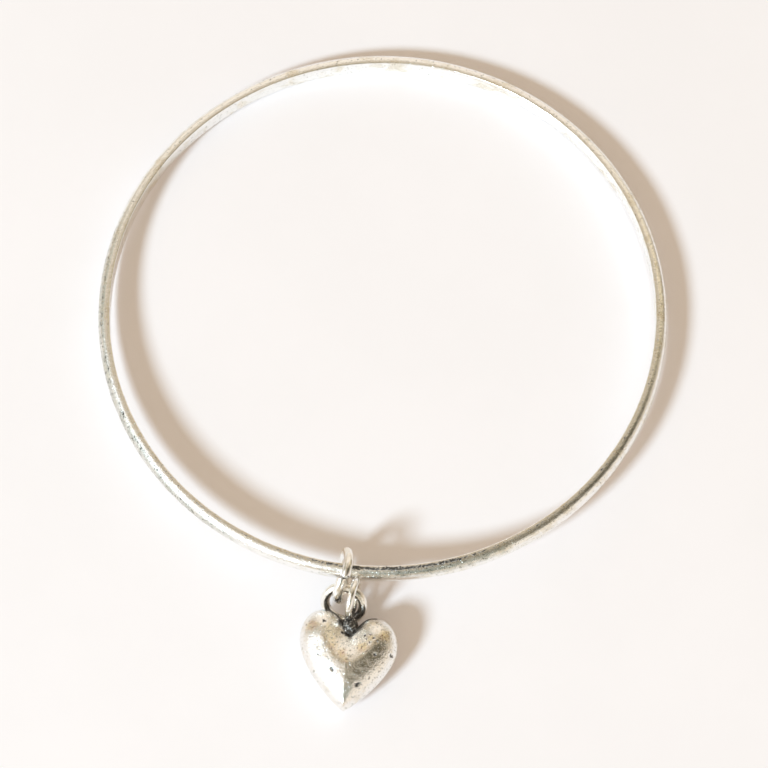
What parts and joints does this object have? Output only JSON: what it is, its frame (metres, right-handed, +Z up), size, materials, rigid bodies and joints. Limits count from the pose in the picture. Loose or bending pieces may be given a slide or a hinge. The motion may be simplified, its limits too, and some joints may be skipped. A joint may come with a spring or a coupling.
{
  "type": "charm bracelet",
  "caption": "Closed round bangle of half-round silver wire with a solid puffed heart charm hanging from it on a jump ring, a link ring and a soldered bail.",
  "frame": {"origin": "on the table, under the middle of the whole bracelet's outline", "axes": "+Z up, +Y across the bangle away from the charm, +X to the right as seen from the charm's side"},
  "size_m": [0.0678, 0.083, 0.0075],
  "materials": {
    "silver_band": "satin",
    "silver_rings": "satin",
    "silver_heart": "satin"
  },
  "bodies": {
    "bangle": {"bangle": "silver_band"},
    "jump_ring": {"jump_ring": "silver_rings"},
    "link_ring": {"link_ring": "silver_rings"},
    "heart_charm": {"heart_bail": "silver_rings", "heart": "silver_heart"}
  },
  "joints": [
    {"name": "charm_travel", "type": "hinge", "parent": "bangle", "child": "jump_ring", "pos_m": [0, 0.00764, 0.00251], "axis": [0, 0.0401, 0.9992], "continuous": true},
    {"name": "link_swing", "type": "hinge", "parent": "jump_ring", "child": "link_ring", "pos_m": [-0.00459, -0.02723, 0.00408], "axis": [0.9914, -0.1305, 0], "range_deg": [-18, 52]},
    {"name": "heart_swing", "type": "hinge", "parent": "link_ring", "child": "heart_charm", "pos_m": [-0.0034, -0.02861, 0.00463], "axis": [0.9668, -0.2502, 0.0519], "range_deg": [-90, 4]}
  ]
}
